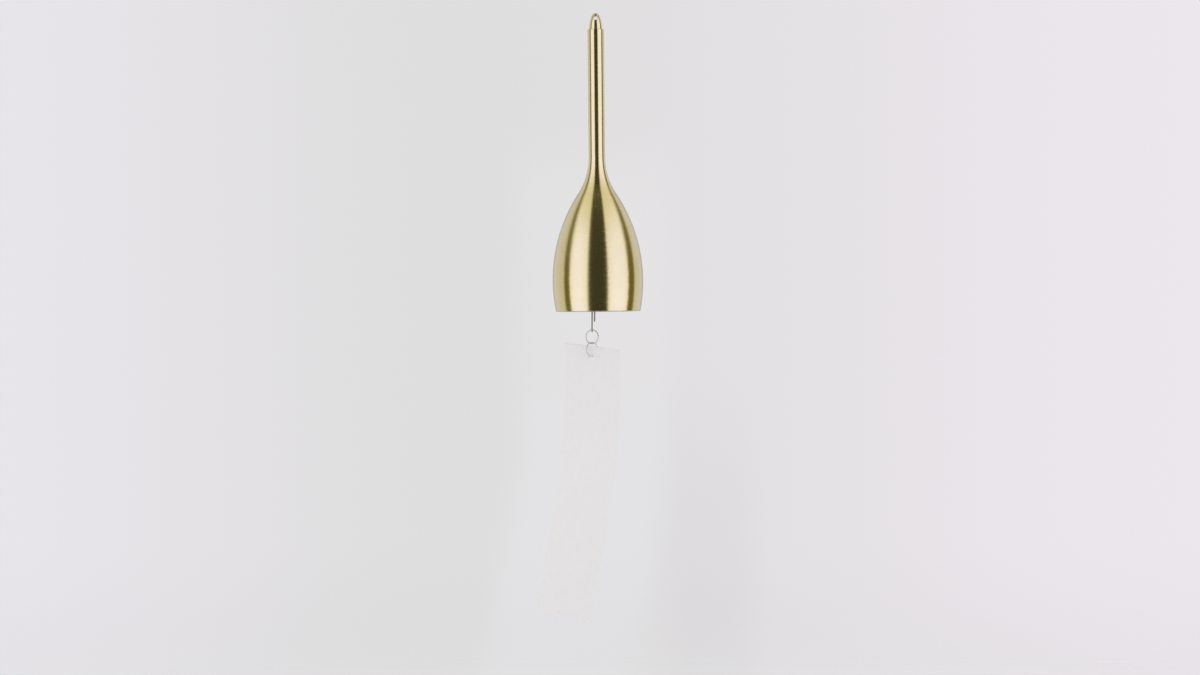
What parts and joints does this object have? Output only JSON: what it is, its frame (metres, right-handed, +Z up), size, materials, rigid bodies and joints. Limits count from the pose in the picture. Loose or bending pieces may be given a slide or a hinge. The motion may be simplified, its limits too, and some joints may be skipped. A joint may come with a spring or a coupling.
{
  "type": "wind bell",
  "caption": "Furin wind bell: long-necked turned brass bell on a hanging eye, with a clapper on a nylon line and linked rings that hold a curled paper strip.",
  "frame": {"origin": "middle of the hanging eye through the finial", "axes": "+Z up along the bell's axis, Y along the hanging eye with the picture's camera at -Y, +X to the picture's right"},
  "size_m": [0.0619, 0.05, 0.3353],
  "materials": {
    "brass": "turned and satin brushed",
    "clapper_brass": "turned",
    "pin_steel": "plain",
    "nylon": "smooth, slightly translucent",
    "ring_metal": "bright plated",
    "paper": "matt, uncoated"
  },
  "bodies": {
    "bell": {"bell": "brass", "finial": "brass", "line_pin": "pin_steel", "anchor_loop": "nylon"},
    "neck_line": {"neck_line": "nylon"},
    "clapper": {"clapper_line": "nylon", "clapper": "clapper_brass", "clapper_knot": "nylon"},
    "pull_line": {"pull_line": "nylon"},
    "upper_ring": {"upper_ring": "ring_metal"},
    "lower_ring": {"lower_ring": "ring_metal"},
    "paper_strip": {"paper_strip": "paper"}
  },
  "joints": [
    {"name": "line_twist", "type": "hinge", "parent": "bell", "child": "neck_line", "pos_m": [0, 0, -0.07661], "axis": [0, 0, 1], "continuous": true},
    {"name": "clapper_swing", "type": "hinge", "parent": "neck_line", "child": "clapper", "pos_m": [0, 0, -0.07661], "axis": [0, 1, 0], "range_deg": [-12.3, 8.1]},
    {"name": "pull_swing", "type": "hinge", "parent": "clapper", "child": "pull_line", "pos_m": [-0.00294, 0, -0.1569], "axis": [0.9993, 0, -0.0366], "range_deg": [-40, 40]},
    {"name": "upper_ring_swing", "type": "hinge", "parent": "pull_line", "child": "upper_ring", "pos_m": [-0.0035, 0, -0.1722], "axis": [0.891, -0.454, 0], "range_deg": [-60, 60]},
    {"name": "lower_ring_swing", "type": "hinge", "parent": "upper_ring", "child": "lower_ring", "pos_m": [-0.0035, 0, -0.17914], "axis": [0.8387, 0.5446, 0], "range_deg": [-25, 25]},
    {"name": "strip_swing", "type": "hinge", "parent": "lower_ring", "child": "paper_strip", "pos_m": [-0.0035, 0, -0.18674], "axis": [0.8429, -0.5267, -0.1097], "range_deg": [-35, 17]}
  ]
}
